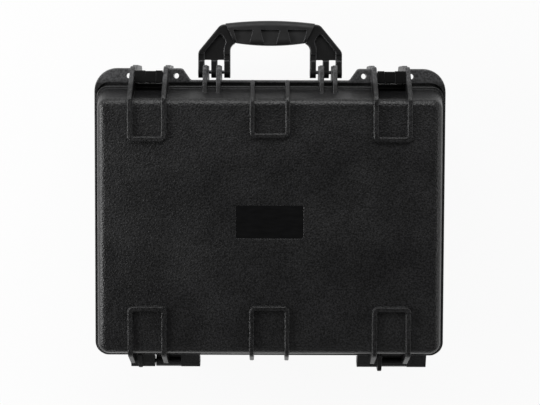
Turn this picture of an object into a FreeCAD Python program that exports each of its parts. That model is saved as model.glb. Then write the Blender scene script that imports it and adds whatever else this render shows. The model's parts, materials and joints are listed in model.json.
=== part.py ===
import FreeCAD, Part
import math
import os

# Hard case lying on its base: X to the right, Y towards the handle, Z up through the lid.
# The origin is the centre of the base's resting face. All sizes are millimetres.

Vector = FreeCAD.Vector

# Shells
shell_width = 479.0
shell_length = 377.0
base_depth = 105.0
lid_depth = 45.0
wall = 4.0
corner_radius = 15.5
base_draft = 5.0
lid_draft = 5.5
lid_slope = 19.5
lid_back_slope = 12.0
shoulder_radius = 11.5
base_edge_radius = 12.0
parting_gap = 0.4

# Rim round the parting plane, with the padlock tabs at the handle-side corners
rim_side = 5.5
rim_front = 8.5
rim_height = 10.0
rim_step = 1.0
rim_back_radius = 18.5
rim_edge_radius = 1.2
flange_height = 6.0
bead_side = 1.3
bead_height = 8.0
bead_radius = 1.6
channel_side = 0.8
channel_front = 4.7
channel_floor = 2.0
channel_radius = 19.0
tab_reach = 24.6
tab_run = 44.5
tab_slope = 11.3
tab_corner_radius = 32.0
tab_bend_radius = 5.0
padlock_hole_radius = 3.8
padlock_hole_inset = 10.6
padlock_inner_run = 36.5
padlock_outer_run = 30.4

# Seal: a lip on the base presses a gasket in the lid's groove
seal_inset_side = 4.3
seal_inset_front = 6.0
seal_inset_back = 6.0
land_wall = 1.4
lip_width = 2.4
lip_height = 3.0
lip_clearance = 1.6
gasket_thick = 3.0
gasket_gap = 0.3
gasket_side_gap = 0.15

# Ribs on the shells
rib_proud = 5.0
rib_outer_radius = 8.0
rib_inner_radius = 3.0
rib_edge_radius = 1.4
side_rib_width = 6.6
side_rib_spacing = 46.0
side_rib_shift = 3.85
side_rib_front_run = 76.0
side_rib_back_run = 76.2
side_rib_back_reach = 10.0
middle_rib_width = 5.8
middle_rib_spacing = 48.3
middle_rib_front_run = 70.3
middle_rib_back_run = 76.8
middle_rib_back_reach = 5.4
guard_lid_reach = 27.0
guard_lid_height = 14.0
guard_lid_nose = 7.5
guard_base_reach = 29.4
guard_base_height = 66.0
guard_base_nose = 17.0
guard_notch_reach = 22.0
base_rib_back_reach = 8.0
rib_end_height = 16.0
rib_turn_out = 3.0
base_rib_low = 30.0
base_rib_foot = 7.0
base_rib_turn = 15.0

# Label plate in the lid's face
label_width = 92.2
label_length = 45.9
label_y = 3.7
label_corner = 3.5
label_recess = 1.2
label_thick = 1.0
label_gap = 0.2
label_edge_radius = 0.4

# Hinges: lid knuckles either side of a base knuckle, on one pin
hinge_axis_out = 11.0
hinge_axis_drop = 4.0
hinge_radius = 7.5
hinge_pin_radius = 2.5
hinge_shifts = (-27.6, -43.0)
hinge_lid_length = 33.3
hinge_gap = 1.8
hinge_base_length = 34.9
hinge_side_gap = 0.4
hinge_end_length = 26.5
hinge_lid_arm = 7.0
hinge_base_arm = 20.0
hinge_neck = 6.0
hinge_lid_rise = 5.0
hinge_base_drop = 10.0
hinge_swing_gap = 0.6
stop_width = 6.0
stop_half_height = 5.0
stop_end_radius = 4.5
stop_nose_radius = 2.4
stop_arm = 12.0
stop_places = (10.6, 28.6)
stop_reaches = (9.0, 13.5)

# Handle, drawn straight out from the case
handle_width = 203.2
handle_pivot_out = 19.9
handle_pivot_drop = 28.0
handle_reach = 72.6
handle_crown_rise = 5.8
handle_crown_straight = 33.67
handle_bend_radius = 11.0
knuckle_width = 8.5
knuckle_pitch = 18.35
knuckle_radius = 8.2
knuckle_gap = 0.3
handle_thick = 16.0
handle_pin_radius = 2.5
ear_thick = 6.2
ear_radius = 9.0
ear_root = 17.0
lid_ear_drop = 22.2
handle_slope_width = 31.5
handle_slope_rise = 38.2
handle_window = 17.3
handle_window_corner = 1.5
handle_opening_corner = 11.0
handle_border = 6.8
handle_recess = 4.5
recess_apex_inset = 31.5
recess_waist_inset = 39.5
recess_waist_drop = 23.5
recess_neck_drop = 33.0
recess_corner = 4.0
recess_waist_radius = 4.0
band_low = 15.7
band_high = 25.6
band_depth = 2.4
handle_edge_radius = 2.0
grip_top_inset = 39.0
grip_bottom_inset = 51.3
grip_depth = 25.5
grip_belly = 3.9
grip_crown_drop = 0.1
grip_shoulder = 1.8
grip_thick = 23.0
grip_edge_radius = 8.0
grip_core_width = 12.0
grip_core_thick = 10.0
grip_gap = 0.1
grip_pocket_depth = 3.2
grip_pocket_pitch = 38.0
grip_pocket_top_width = 28.0
grip_pocket_low_width = 15.0
grip_pocket_drop = 7.0
grip_pocket_corner = 1.5

# Latches between the guards
latch_gap = 0.6
latch_stand_off = 4.1
latch_thick = 14.2
latch_pivot_drop = 47.0
latch_pin_radius = 2.5
latch_top_rise = 25.0
latch_lip = 2.6
latch_edge_radius = 1.2
latch_groove_depth = 0.8
latch_groove_width = 2.0
latch_groove_pitch = 5.0
latch_grooves = 3
trigger_width = 14.0
trigger_offset = 2.8
trigger_gap = 0.4
trigger_end_gap = 1.2
trigger_low_drop = 28.0
trigger_pivot_drop = 2.0
trigger_pin_radius = 1.5
trigger_pin_inset = 1.0
trigger_set_back = 0.4
trigger_relief = 2.4
spring_wire = 0.8
spring_radius = 2.4
spring_turns = 4
spring_pitch = 1.25
spring_room = 0.4

# Pressure valve on the base's handle side
valve_drop = 30.0
valve_boss_radius = 14.0
valve_boss_out = 0.8
valve_shaft_radius = 8.0
valve_flange_radius = 12.0
valve_flange_thick = 2.2
valve_stem_radius = 4.0
valve_stem_length = 3.4
valve_seal_wire = 0.7
valve_seal_radius = 9.8
valve_nut_across = 22.0
valve_nut_thick = 5.0
valve_knob_radius = 10.0
valve_knob_thick = 5.0
valve_knob_gap = 0.3
valve_flutes = 12
valve_flute_radius = 1.4
valve_slot_width = 2.0
valve_slot_depth = 0.9
valve_slot_length = 12.0
valve_knob_round = 1.0
valve_shaft_end = 1.0

# Foam lining: a pad and a floor sheet under four blocks round an open pocket, and a sheet in the lid
foam_gap = 0.3
foam_side_gap = 2.0
foam_corner = 14.0
pad_thick = 12.0
floor_thick = 34.4
block_top_drop = 2.0
pocket_side_border = 79.0
pocket_front_border = 79.2
pocket_back_border = 81.3
lid_foam_thick = 28.0

# Fits
pin_clearance = 0.05
pin_end_inset = 0.5
overlap = 2.0

# Places worked out from the sizes above
half_x = shell_width / 2
front_y = shell_length / 2
back_y = -shell_length / 2
parting = base_depth
lid_low = parting + parting_gap
lid_face = parting + lid_depth
crest = lid_face + rib_proud
rim_front_y = front_y + rim_front
tab_y = front_y + tab_reach
guard_lid_y = front_y + guard_lid_reach
guard_base_y = front_y + guard_base_reach
guard_notch_y = front_y + guard_notch_reach
hinge_y = back_y - hinge_axis_out
hinge_z = parting - hinge_axis_drop
handle_y = front_y + handle_pivot_out
handle_z = parting - handle_pivot_drop
handle_top = handle_y + handle_reach
handle_slope_height = handle_reach - handle_crown_rise
handle_side_height = handle_slope_height - handle_slope_rise
grip_bottom = handle_slope_height - grip_depth
grip_top_width = handle_width - 2 * grip_top_inset
grip_bottom_width = handle_width - 2 * grip_bottom_inset
side_rib_x = (half_x + handle_width / 2) / 2 - side_rib_shift
tab_inner_x = side_rib_x - tab_run
padlock_inner_x = side_rib_x - padlock_inner_run
padlock_outer_x = side_rib_x + padlock_outer_run
latch_bay = side_rib_spacing - side_rib_width
latch_in = front_y + latch_stand_off
latch_bay_y = latch_in - latch_gap
latch_out = latch_in + latch_thick
latch_y = latch_in + latch_thick / 2
latch_z = parting - latch_pivot_drop
latch_top = parting + latch_top_rise
trigger_z = parting - trigger_pivot_drop
valve_z = parting - valve_drop
hole_y = tab_y - padlock_hole_inset
groove_reach = lip_width / 2 + lip_clearance
mouth_side = seal_inset_side + groove_reach + land_wall
mouth_front = seal_inset_front + groove_reach + land_wall
mouth_back = seal_inset_back + groove_reach + land_wall


# Drawing helpers

def at_z(z):
    return lambda point: Vector(point.x, point.y, z)


def at_x(x):
    return lambda point: Vector(x, point.x, point.y)


def rounded_wire(corners, place):
    """Closed wire through (u, v, radius) corners, each rounded by a tangent arc."""
    spans = []
    for index, (u, v, radius) in enumerate(corners):
        point = Vector(u, v, 0)
        before = corners[index - 1]
        after = corners[(index + 1) % len(corners)]
        back = (Vector(before[0], before[1], 0) - point).normalize()
        ahead = (Vector(after[0], after[1], 0) - point).normalize()
        if radius == 0:
            spans.append((point, None, point))
            continue
        half_angle = back.getAngle(ahead) / 2
        reach = radius / math.tan(half_angle)
        bisector = (back + ahead).normalize()
        middle = point + bisector * (radius / math.sin(half_angle) - radius)
        spans.append((point + back * reach, middle, point + ahead * reach))
    edges = []
    for index, (start, middle, end) in enumerate(spans):
        if middle is not None:
            edges.append(Part.Arc(place(start), place(middle), place(end)).toShape())
        following = spans[(index + 1) % len(spans)][0]
        if end.distanceToPoint(following) > 1e-6:
            edges.append(Part.LineSegment(place(end), place(following)).toShape())
    return Part.Wire(edges)


def prism_z(corners, low, high):
    return Part.Face(rounded_wire(corners, at_z(low))).extrude(Vector(0, 0, high - low))


def prism_x(corners, left, right):
    return Part.Face(rounded_wire(corners, at_x(left))).extrude(Vector(right - left, 0, 0))


def box(x_range, y_range, z_range):
    low = Vector(min(x_range), min(y_range), min(z_range))
    high = Vector(max(x_range), max(y_range), max(z_range))
    size = high - low
    return Part.makeBox(size.x, size.y, size.z, low)


def rod_x(radius, left, right, y, z):
    return Part.makeCylinder(radius, right - left, Vector(left, y, z), Vector(1, 0, 0))


def rod_y(radius, low, high, x, z):
    return Part.makeCylinder(radius, high - low, Vector(x, low, z), Vector(0, 1, 0))


def rectangle(x_low, x_high, y_low, y_high, radius):
    return [(x_low, y_low, radius), (x_high, y_low, radius),
            (x_high, y_high, radius), (x_low, y_high, radius)]


def edges_at_z(shape, level):
    close = 1e-4
    return [edge for edge in shape.Edges
            if abs(edge.BoundBox.ZMin - level) < close and abs(edge.BoundBox.ZMax - level) < close]


def fuse_all(shapes):
    return shapes[0].multiFuse(shapes[1:]).removeSplitter()


def save(name, shape):
    shape.exportStep("parts/" + name + ".step")
    print(name, "solids", len(shape.Solids), "volume", round(shape.Volume), "valid", shape.isValid())


# Shell outlines at any height

def lid_wire(z, inset):
    lean = (z - parting) / lid_depth
    x = half_x - lid_draft * lean - inset
    low = back_y + lid_back_slope * lean + inset
    high = front_y - lid_slope * lean - inset
    return rounded_wire(rectangle(-x, x, low, high, corner_radius - inset), at_z(z))


def base_wire(z, inset):
    lean = (base_depth - z) / base_depth
    x = half_x - base_draft * lean - inset
    y = front_y - base_draft * lean - inset
    return rounded_wire(rectangle(-x, x, -y, y, corner_radius - inset), at_z(z))


def rim_corners(step):
    side = half_x + rim_side - step
    front = rim_front_y - step
    tab = tab_y - step
    low_x = tab_inner_x - tab_slope
    return [(-side, back_y, rim_back_radius), (side, back_y, rim_back_radius),
            (side, tab, tab_corner_radius), (tab_inner_x, tab, tab_bend_radius),
            (low_x, front, tab_bend_radius), (-low_x, front, tab_bend_radius),
            (-tab_inner_x, tab, tab_bend_radius), (-side, tab, tab_corner_radius)]


def rim(step, low, high):
    """Rim band with its padlock tabs, holes and the two open latch bays."""
    band = prism_z(rim_corners(step), low, high)
    band = band.makeFillet(rim_edge_radius, edges_at_z(band, low) + edges_at_z(band, high))
    cuts = []
    for side in (-1, 1):
        bay = (side * side_rib_x - latch_bay / 2, side * side_rib_x + latch_bay / 2)
        cuts.append(box(bay, (latch_bay_y, tab_y), (low, high)))
        for hole_x in (padlock_inner_x, padlock_outer_x):
            start = Vector(side * hole_x, hole_y, low)
            cuts.append(Part.makeCylinder(padlock_hole_radius, high - low, start))
    return band.cut(Part.makeCompound(cuts))


def lid_bead():
    """Ledge with a round edge along the foot of the lid's wall."""
    x = half_x + bead_side
    high = lid_low + bead_height
    ledge = prism_z(rectangle(-x, x, back_y, front_y, corner_radius), lid_low, high)
    return ledge.makeFillet(bead_radius, edges_at_z(ledge, high))


def rim_channel(high):
    """Channel between the ledge and the rim: wide along the handle side, a fine line along the ends."""
    low = lid_low + channel_floor
    inner_x = half_x + bead_side
    outer_x = inner_x + channel_side
    start_y = back_y + rim_back_radius
    outer = [(-outer_x, start_y, 0), (outer_x, start_y, 0),
             (outer_x, front_y + channel_front, channel_radius),
             (-outer_x, front_y + channel_front, channel_radius)]
    inner = rectangle(-inner_x, inner_x, back_y, front_y, corner_radius)
    return prism_z(outer, low, high).cut(prism_z(inner, low, high))


def rim_mouth(low, high):
    x = half_x - mouth_side
    corners = rectangle(-x, x, back_y + mouth_back, front_y - mouth_front, corner_radius - wall)
    return prism_z(corners, low, high)


def seal_ring(grow, low, high):
    """Ring along the seal line, as wide as the lip and grown on both sides."""
    x = half_x - seal_inset_side
    low_y = back_y + seal_inset_back
    high_y = front_y - seal_inset_front
    reach = lip_width / 2 + grow
    radius = corner_radius - seal_inset_side
    outer = rectangle(-x - reach, x + reach, low_y - reach, high_y + reach, radius + reach)
    inner = rectangle(-x + reach, x - reach, low_y + reach, high_y - reach, radius - reach)
    return prism_z(outer, low, high).cut(prism_z(inner, low, high))


# Ribs

def u_rib(x, spacing, width, closed_y, end_y, profile):
    """U-shaped rib: its plan in X and Y, cut to the side profile, with softened crest edges."""
    towards_end = 1 if end_y > closed_y else -1
    half_out = (spacing + width) / 2
    half_in = (spacing - width) / 2
    z_values = [corner[1] for corner in profile]
    low = min(z_values)
    high = max(z_values)
    past_end = end_y + towards_end * overlap
    outer = [(x - half_out, closed_y, rib_outer_radius), (x + half_out, closed_y, rib_outer_radius),
             (x + half_out, past_end, 0), (x - half_out, past_end, 0)]
    inner_y = closed_y + towards_end * width
    inner = [(x - half_in, inner_y, rib_inner_radius), (x + half_in, inner_y, rib_inner_radius),
             (x + half_in, past_end, 0), (x - half_in, past_end, 0)]
    plan = prism_z(outer, low, high).cut(prism_z(inner, low, high))
    rib = plan.common(prism_x(profile, x - half_out, x + half_out))
    outline = rounded_wire(profile, at_x(0))
    soft = []
    for edge in rib.Edges:
        middle = edge.valueAt((edge.FirstParameter + edge.LastParameter) / 2)
        runs_across = abs(edge.tangentAt((edge.FirstParameter + edge.LastParameter) / 2).x) > 0.99
        on_profile = outline.distToShape(Part.Vertex(0, middle.y, middle.z))[0] < 1e-4
        at_foot = middle.z < parting + rim_height
        at_closed_end = min(abs(middle.y - closed_y), abs(middle.y - inner_y)) < 1e-4
        if on_profile and not at_foot and (at_closed_end or not runs_across):
            soft.append(edge)
    return rib.makeFillet(rib_edge_radius, soft)


def lid_profile(closed_y, end_y, end_z, foot):
    """Side profile of a lid rib: along the face, over the shoulder, to its end and its foot corners."""
    towards_end = 1 if end_y > closed_y else -1
    wall_lean = lid_slope if towards_end > 0 else lid_back_slope
    turn_y = towards_end * (front_y - wall_lean + rib_turn_out)
    start_y = closed_y - towards_end * overlap
    return [(start_y, lid_low, 0), (start_y, crest, 0), (turn_y, crest, shoulder_radius),
            (end_y, end_z, rib_outer_radius)] + foot


def base_profile(reach_y, low_z, head):
    """Side profile of a base rib: up the wall from the resting face's edge to its head corners."""
    away = 1 if reach_y > 0 else -1
    inner_y = away * (front_y - base_draft - base_edge_radius - rib_outer_radius)
    foot_y = away * (front_y - base_draft)
    wall_z = low_z - base_rib_turn
    return [(inner_y, base_edge_radius, 0), (foot_y, base_rib_foot, rib_inner_radius),
            (foot_y + away * rib_proud, wall_z, rib_inner_radius), (reach_y, low_z, rib_outer_radius),
            *head, (inner_y, parting, 0)]


def lid_ribs():
    end_z = parting + rib_end_height
    side_end = back_y - side_rib_back_reach
    middle_end = back_y - middle_rib_back_reach
    guard_foot = [(guard_lid_y, parting + guard_lid_nose, 0), (guard_notch_y, lid_low, 0)]
    ribs = []
    for side in (-1, 1):
        x = side * side_rib_x
        closed = front_y - side_rib_front_run
        profile = lid_profile(closed, guard_lid_y, parting + guard_lid_height, guard_foot)
        ribs.append(u_rib(x, side_rib_spacing, side_rib_width, closed, guard_lid_y, profile))
        closed = back_y + side_rib_back_run
        profile = lid_profile(closed, side_end, end_z, [(side_end, lid_low, 0)])
        ribs.append(u_rib(x, side_rib_spacing, side_rib_width, closed, side_end, profile))
    closed = front_y - middle_rib_front_run
    profile = lid_profile(closed, rim_front_y, end_z, [(rim_front_y, lid_low, 0)])
    ribs.append(u_rib(0, middle_rib_spacing, middle_rib_width, closed, rim_front_y, profile))
    closed = back_y + middle_rib_back_run
    profile = lid_profile(closed, middle_end, end_z, [(middle_end, lid_low, 0)])
    ribs.append(u_rib(0, middle_rib_spacing, middle_rib_width, closed, middle_end, profile))
    return ribs


def plain_rib(reach_y):
    return base_profile(reach_y, base_rib_low, [(reach_y, parting, 0)])


def base_ribs():
    guard_head = [(guard_base_y, parting - guard_base_nose, rib_inner_radius), (guard_notch_y, parting, 0)]
    guard = base_profile(guard_base_y, parting - guard_base_height, guard_head)
    side_end = back_y - base_rib_back_reach
    rows = [(0, middle_rib_spacing, middle_rib_width, plain_rib(front_y + rib_proud)),
            (0, middle_rib_spacing, middle_rib_width, plain_rib(back_y - rib_proud))]
    for x in (-side_rib_x, side_rib_x):
        rows.append((x, side_rib_spacing, side_rib_width, guard))
        rows.append((x, side_rib_spacing, side_rib_width, plain_rib(side_end)))
    ribs = []
    for x, spacing, width, profile in rows:
        for leg in (-1, 1):
            leg_x = x + leg * spacing / 2
            ribs.append(prism_x(profile, leg_x - width / 2, leg_x + width / 2))
    return ribs


# Hinges

def hinge_spans():
    """X ranges of each hinge: first lid knuckle, base knuckle, second lid knuckle."""
    spans = []
    for side, shift in zip((-1, 1), hinge_shifts):
        start = side * side_rib_x + shift
        base_start = start + hinge_lid_length + hinge_gap
        end_start = base_start + hinge_base_length + hinge_side_gap
        spans.append(((start, start + hinge_lid_length), (base_start, base_start + hinge_base_length),
                      (end_start, end_start + hinge_end_length)))
    return spans


def hinge_profile(away):
    """Knuckle arm beside the pin: away is 1 for the lid's arm above the seam, -1 for the base's below."""
    seam = lid_low if away > 0 else parting
    out_y = hinge_y - hinge_radius
    in_y = back_y + wall
    far_z = lid_low + hinge_lid_arm if away > 0 else parting - hinge_base_arm
    round_z = hinge_z + hinge_lid_rise if away > 0 else hinge_z - hinge_base_drop
    neck_y = hinge_y + hinge_neck
    return [(out_y, hinge_z, 0), (out_y, round_z, rib_inner_radius), (back_y, far_z, rib_inner_radius),
            (in_y, far_z, 0), (in_y, seam, 0), (neck_y, seam, 0), (hinge_y, hinge_z, 0)]


def lid_knuckles():
    solids = []
    for span, place, reach in zip(hinge_spans(), stop_places, stop_reaches):
        for left, right in (span[0], span[2]):
            solids.append(prism_x(hinge_profile(1), left, right))
            solids.append(rod_x(hinge_radius, left, right, hinge_y, hinge_z))
        stop_left = span[0][0] + place
        tip_y = hinge_y - reach
        stop = [(tip_y, hinge_z - stop_half_height, stop_end_radius),
                (tip_y, hinge_z + stop_half_height, stop_end_radius),
                (back_y, lid_low + stop_arm, 0), (back_y + wall, lid_low + stop_arm, 0),
                (back_y + wall, lid_low, 0), (hinge_y + hinge_neck, lid_low, 0),
                (hinge_y, hinge_z - stop_half_height, 0)]
        fin = prism_x(stop, stop_left, stop_left + stop_width)
        plan = [(stop_left, tip_y, stop_nose_radius), (stop_left + stop_width, tip_y, stop_nose_radius),
                (stop_left + stop_width, back_y + wall, 0), (stop_left, back_y + wall, 0)]
        solids.append(fin.common(prism_z(plan, hinge_z - hinge_radius, lid_face)))
        solids.append(rod_x(hinge_radius, stop_left, stop_left + stop_width, hinge_y, hinge_z))
    return solids


def base_knuckles():
    solids = []
    for span in hinge_spans():
        left, right = span[1]
        solids.append(prism_x(hinge_profile(-1), left, right))
        solids.append(rod_x(hinge_radius, left, right, hinge_y, hinge_z))
    return solids


def hinge_room(for_lid):
    """Room round the other shell's knuckles, coaxial with the pin so that it holds at every angle."""
    rods = []
    for span in hinge_spans():
        others = (span[1],) if for_lid else (span[0], span[2])
        for left, right in others:
            rods.append(rod_x(hinge_radius + hinge_swing_gap, left - hinge_side_gap / 2,
                              right + hinge_side_gap / 2, hinge_y, hinge_z))
    return Part.makeCompound(rods)


def hinge_bores():
    rods = []
    for span in hinge_spans():
        rods.append(rod_x(hinge_pin_radius + pin_clearance, span[0][0], span[2][1], hinge_y, hinge_z))
    return Part.makeCompound(rods)


# Ears that carry the handle, and the lid ears in line with them

def knuckle_spans():
    """Inner, middle and outer knuckle of the right leg."""
    outer_end = handle_width / 2
    return [(outer_end - index * knuckle_pitch - knuckle_width, outer_end - index * knuckle_pitch)
            for index in (2, 1, 0)]


def ear_spans():
    return [(left - knuckle_gap - ear_thick, left - knuckle_gap) for left, right in knuckle_spans()[1:]]


def both_sides(spans):
    return spans + [(-right, -left) for left, right in spans]


def base_ears():
    root_y = front_y - base_draft
    profile = [(root_y, handle_z - ear_root, 0), (handle_y, handle_z - ear_radius, 0),
               (handle_y, handle_z + ear_radius, 0), (root_y, handle_z + ear_root, 0)]
    solids = []
    for left, right in both_sides(ear_spans()):
        solids.append(prism_x(profile, left, right))
        solids.append(rod_x(ear_radius, left, right, handle_y, handle_z))
    return solids


def lid_ears():
    start_y = front_y - lid_slope * (lid_depth - lid_ear_drop) / lid_depth
    start_z = lid_face - lid_ear_drop
    end_y = handle_y + ear_radius
    profile = [(start_y - overlap, lid_low, 0), (start_y - overlap, start_z, 0),
               (start_y, start_z, rib_inner_radius),
               (end_y, parting + rib_end_height, rib_outer_radius), (end_y, lid_low, 0)]
    ears = []
    for left, right in both_sides(ear_spans()):
        ear = prism_x(profile, left, right)
        soft = [edge for edge in ear.Edges
                if edge.BoundBox.XLength < 1e-4 and edge.BoundBox.ZMin > parting + rim_height]
        ears.append(ear.makeFillet(rib_edge_radius, soft))
    return ears


def handle_bores(radius):
    spans = knuckle_spans()
    left = spans[0][0]
    right = spans[-1][1]
    return [rod_x(radius, left, right, handle_y, handle_z), rod_x(radius, -right, -left, handle_y, handle_z)]


# Latch seats

def guard_span(side):
    reach = (side_rib_spacing + side_rib_width) / 2
    return side * side_rib_x - reach, side * side_rib_x + reach


# Shell bodies

def build_lid():
    outer = Part.makeLoft([lid_wire(lid_low, 0), lid_wire(lid_face, 0)], True, True)
    outer = outer.makeFillet(shoulder_radius, edges_at_z(outer, lid_face))
    rim_top = lid_low + rim_height
    cavity_top = lid_face - wall
    cavity = Part.makeLoft([lid_wire(rim_top, wall), lid_wire(cavity_top, wall)], True, True)
    cavity = cavity.makeFillet(shoulder_radius - wall, edges_at_z(cavity, cavity_top))
    mouth = rim_mouth(lid_low - overlap, rim_top + overlap)
    flange_top = lid_low + flange_height
    flange = rim(rim_step, lid_low, flange_top).cut(rim_channel(flange_top))
    solids = [outer, flange, lid_bead()] + lid_ribs() + lid_ears()
    body = fuse_all(solids).cut(hinge_room(True))
    body = fuse_all([body] + lid_knuckles())
    groove_top = lid_low - parting_gap + lip_height + gasket_gap + gasket_thick
    half_w = label_width / 2
    half_l = label_length / 2
    recess = prism_z(rectangle(-half_w, half_w, label_y - half_l, label_y + half_l, label_corner),
                     lid_face - label_recess, crest)
    cuts = [cavity, mouth, seal_ring(lip_clearance, lid_low - overlap, groove_top), hinge_bores(), recess]
    return body.cut(Part.makeCompound(cuts)).removeSplitter()


def build_base():
    outer = Part.makeLoft([base_wire(0, 0), base_wire(parting, 0)], True, True)
    outer = outer.makeFillet(base_edge_radius, edges_at_z(outer, 0))
    rim_low = parting - rim_height
    cavity = Part.makeLoft([base_wire(wall, wall), base_wire(rim_low, wall)], True, True)
    cavity = cavity.makeFillet(base_edge_radius - wall, edges_at_z(cavity, wall))
    mouth = rim_mouth(rim_low - overlap, parting + overlap)
    boss_y = front_y + valve_boss_out
    boss = rod_y(valve_boss_radius, front_y - base_draft - wall, boss_y, 0, valve_z)
    solids = [outer, rim(0, rim_low, parting), boss] + base_ribs() + base_ears()
    body = fuse_all(solids).cut(hinge_room(False))
    lip = seal_ring(0, parting - overlap, parting + lip_height)
    body = fuse_all([body, lip] + base_knuckles())
    bores = [hinge_bores()] + handle_bores(handle_pin_radius + pin_clearance)
    for side in (-1, 1):
        left, right = guard_span(side)
        bores.append(rod_x(latch_pin_radius + pin_clearance, left, right, latch_y, latch_z))
    bore_start = front_y - base_draft - 2 * wall
    bores.append(rod_y(valve_shaft_radius + pin_clearance, bore_start, boss_y, 0, valve_z))
    return body.cut(Part.makeCompound([cavity, mouth] + bores)).removeSplitter()


# Small pieces of the lid

def build_gasket():
    low = parting + lip_height + gasket_gap
    return seal_ring(lip_clearance - gasket_side_gap, low, low + gasket_thick)


def build_label():
    half_w = label_width / 2 - label_gap
    half_l = label_length / 2 - label_gap
    low = lid_face - label_recess
    corners = rectangle(-half_w, half_w, label_y - half_l, label_y + half_l, label_corner - label_gap)
    plate = prism_z(corners, low, low + label_thick)
    return plate.makeFillet(label_edge_radius, edges_at_z(plate, low + label_thick))


def hinge_pin(span):
    return rod_x(hinge_pin_radius, span[0][0] + pin_end_inset, span[2][1] - pin_end_inset, hinge_y, hinge_z)


# Handle

def seam_x(y):
    """Half width of the grip at a height: the seams lean outwards towards the top."""
    rise = (y - handle_y - grip_bottom) / (handle_slope_height - grip_bottom)
    return grip_bottom_width / 2 + rise * (grip_top_width - grip_bottom_width) / 2


def handle_outline():
    outer_x = handle_width / 2
    inner_x = knuckle_spans()[0][0]
    slope_x = outer_x - handle_slope_width
    side_y = handle_y + handle_side_height
    slope_y = handle_y + handle_slope_height
    open_y = handle_y + grip_bottom
    crown_reach = math.hypot(slope_x, handle_crown_rise) - handle_crown_straight
    crown_radius = crown_reach * slope_x / handle_crown_rise
    return [(-outer_x, handle_y, 0), (-outer_x, side_y, handle_bend_radius),
            (-slope_x, slope_y, handle_bend_radius), (0, handle_top, crown_radius),
            (slope_x, slope_y, handle_bend_radius), (outer_x, side_y, handle_bend_radius),
            (outer_x, handle_y, 0), (inner_x, handle_y, 0), (inner_x, open_y, handle_opening_corner),
            (-inner_x, open_y, handle_opening_corner), (-inner_x, handle_y, 0)]


def leg_recess(side):
    """Recess in one face of a leg, inside a border along its outer edges, open to the windows."""
    outer_x = handle_width / 2
    run = Vector(-handle_slope_width, handle_slope_height - handle_side_height, 0).normalize()
    edge_x = outer_x - run.y * handle_border
    edge_y = handle_y + handle_side_height + run.x * handle_border
    left = knuckle_spans()[0][1]
    right = knuckle_spans()[-1][0]
    steep = run.y / -run.x
    low = handle_y + handle_window - handle_window_corner
    apex_x = outer_x - recess_apex_inset
    slope_y = handle_y + handle_slope_height
    corners = [(left, low, 0), (right, low, 0),
               (right, edge_y + (edge_x - right) * steep, recess_corner),
               (apex_x, edge_y + (edge_x - apex_x) * steep, recess_corner),
               (outer_x - recess_waist_inset, slope_y - recess_waist_drop, recess_waist_radius),
               (left, slope_y - recess_neck_drop, recess_waist_radius)]
    return [(side * x, y, radius) for x, y, radius in corners]


def grip_core(gap):
    """Bar of the frame inside the grip."""
    low = handle_y + (grip_bottom + handle_slope_height - grip_core_width) / 2 - gap
    high = low + grip_core_width + 2 * gap
    reach = seam_x(high) + overlap
    half = grip_core_thick / 2 + gap
    return box((-reach, reach), (low, high), (handle_z - half, handle_z + half))


def build_handle_frame():
    low = handle_z - handle_thick / 2
    high = handle_z + handle_thick / 2
    plate = prism_z(handle_outline(), low, high)
    soft = [edge for edge in edges_at_z(plate, low) + edges_at_z(plate, high)
            if edge.BoundBox.YMax > handle_y + overlap]
    plate = plate.makeFillet(handle_edge_radius, soft)
    spans = knuckle_spans()
    below = handle_y - knuckle_radius - overlap
    window_y = handle_y + handle_window
    cuts = []
    for side in (-1, 1):
        for near, far in zip(spans, spans[1:]):
            left, right = near[1], far[0]
            cuts.append(prism_z([(side * left, below, 0), (side * right, below, 0),
                                 (side * right, window_y, handle_window_corner),
                                 (side * left, window_y, handle_window_corner)], low, high))
        for start, end in ((low, low + handle_recess), (high - handle_recess, high)):
            cuts.append(prism_z(leg_recess(side), start, end))
        for start, end in ((low, low + band_depth), (high - band_depth, high)):
            for left, right in (spans[0], spans[-1]):
                cuts.append(box((side * left, side * right), (handle_y + band_low, handle_y + band_high),
                                (start, end)))
    grip_low = handle_y + grip_bottom - 2 * overlap
    grip_high = handle_top + overlap
    cuts.append(prism_z([(-seam_x(grip_low), grip_low, 0), (seam_x(grip_low), grip_low, 0),
                         (seam_x(grip_high), grip_high, 0), (-seam_x(grip_high), grip_high, 0)], low, high))
    plate = plate.cut(Part.makeCompound(cuts))
    knuckles = [rod_x(knuckle_radius, left, right, handle_y, handle_z) for left, right in both_sides(spans)]
    frame = fuse_all([plate, grip_core(0)] + knuckles)
    return frame.cut(Part.makeCompound(handle_bores(handle_pin_radius + pin_clearance)))


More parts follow.
